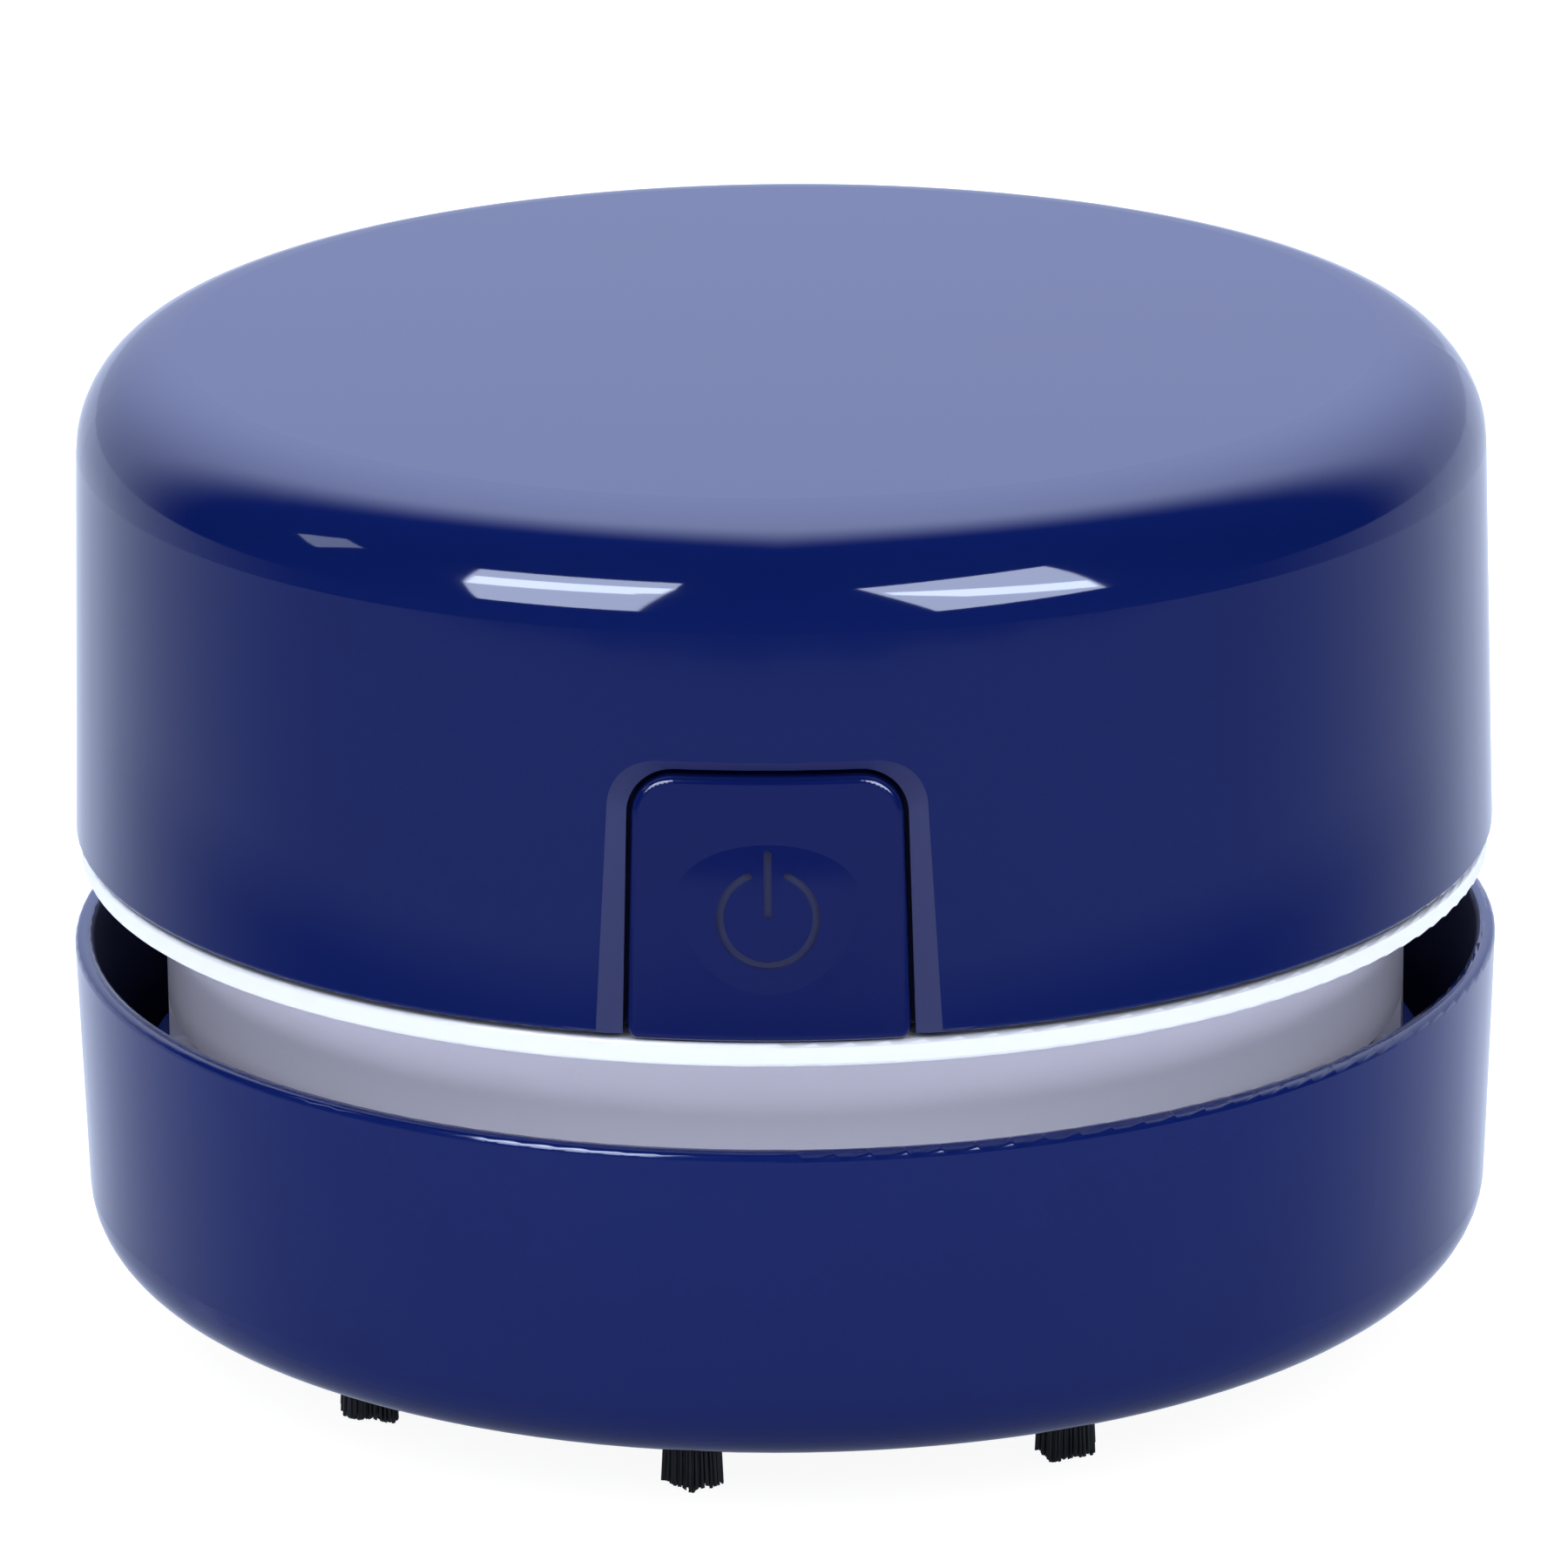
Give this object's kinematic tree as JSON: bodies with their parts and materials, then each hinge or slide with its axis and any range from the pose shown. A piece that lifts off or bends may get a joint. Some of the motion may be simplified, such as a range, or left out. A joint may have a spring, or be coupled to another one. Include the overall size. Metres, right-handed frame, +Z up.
{
  "type": "desktop mini vacuum cleaner",
  "caption": "Round hand-sized table vacuum: lift-off motor head with push button over a dust cup with bristle tufts round its suction mouth.",
  "frame": {"origin": "on the table, on the axis of the round body, level with the bristle tips", "axes": "+Z up along the body's axis; the front with the push button faces -Y"},
  "size_m": [0.0856, 0.0856, 0.0605],
  "materials": {
    "cover_blue": "deep blue gloss",
    "button_blue": "deep blue gloss",
    "cup_blue": "deep blue gloss",
    "white_plastic": "white gloss",
    "housing_white": "white satin",
    "impeller_white": "white satin",
    "plunger_white": "white satin",
    "motor_plastic": "white moulded nylon",
    "frame_grey": "grey satin",
    "filter_felt": "felted fibre",
    "seal_rubber": "matte",
    "bristle_black": "black nylon bristle",
    "motor_steel": "zinc plated",
    "core_steel": "laminated steel",
    "screw_steel": "zinc plated",
    "socket_steel": "satin nickel plate",
    "tab_nickel": "nickel strip",
    "contact_brass": "bright",
    "copper_wire": "enamelled copper wire",
    "magnet_grey": "sintered ferrite",
    "cell_sleeve": "shrink sleeve",
    "board_green": "solder mask",
    "chip_black": "moulded epoxy",
    "light_white": "cast resin",
    "clear_plastic": "clear acrylic",
    "lead_red": "soft insulation",
    "lead_black": "soft insulation",
    "lead_white": "soft insulation"
  },
  "bodies": {
    "cup": {"dust_cup": "cup_blue", "mouth_tube": "cup_blue", "seat_ring": "cup_blue", "bristle_tufts": "bristle_black"},
    "filter": {"filter_frame": "frame_grey", "filter_pad": "filter_felt", "filter_seal": "seal_rubber"},
    "button": {"button": "button_blue"},
    "plunger": {"switch_plunger": "plunger_white"},
    "rotor": {"impeller": "impeller_white", "motor_shaft": "screw_steel", "armature_core": "core_steel", "armature_windings": "copper_wire", "commutator": "contact_brass"},
    "head": {"top_cover": "cover_blue", "chassis": "white_plastic", "fan_housing": "housing_white", "intake_plate": "white_plastic", "motor_can": "motor_steel", "motor_end_cap": "motor_plastic", "motor_terminals": "contact_brass", "motor_brushes": "contact_brass", "motor_magnets": "magnet_grey", "motor_bushes": "contact_brass", "motor_strap": "white_plastic", "battery_cell": "cell_sleeve", "battery_tabs": "tab_nickel", "charge_board": "board_green", "charge_chip": "chip_black", "board_parts": "chip_black", "usb_socket": "socket_steel", "usb_tongue": "chip_black", "charge_light": "light_white", "light_pipe": "clear_plastic", "switch_board": "board_green", "switch_body": "chip_black", "battery_leads": "lead_red", "motor_leads": "lead_black", "switch_lead": "lead_white", "cover_screws": "screw_steel", "housing_screws": "screw_steel", "strap_screws": "screw_steel", "board_screws": "screw_steel"}
  },
  "joints": [
    {"name": "head_lift", "type": "slide", "parent": "cup", "child": "head", "axis": [0, 0, 1], "range_m": [0, 0.04]},
    {"name": "filter_lift", "type": "slide", "parent": "cup", "child": "filter", "axis": [0, 0, 1], "range_m": [0, 0.018]},
    {"name": "button_press", "type": "slide", "parent": "head", "child": "button", "axis": [0, 1, 0], "range_m": [0, 0.0012], "stiffness_N_per_m": 900, "springref_m": -0.0005},
    {"name": "plunger_press", "type": "slide", "parent": "head", "child": "plunger", "axis": [0, 1, 0], "range_m": [0, 0.0012]},
    {"name": "rotor_spin", "type": "hinge", "parent": "head", "child": "rotor", "pos_m": [0, 0, 0.0258], "axis": [0, 0, 1], "continuous": true}
  ],
  "couplings": [
    {"joint": "filter_lift", "follows": "head_lift", "ratio": 0.45},
    {"joint": "plunger_press", "follows": "button_press", "ratio": 1}
  ]
}
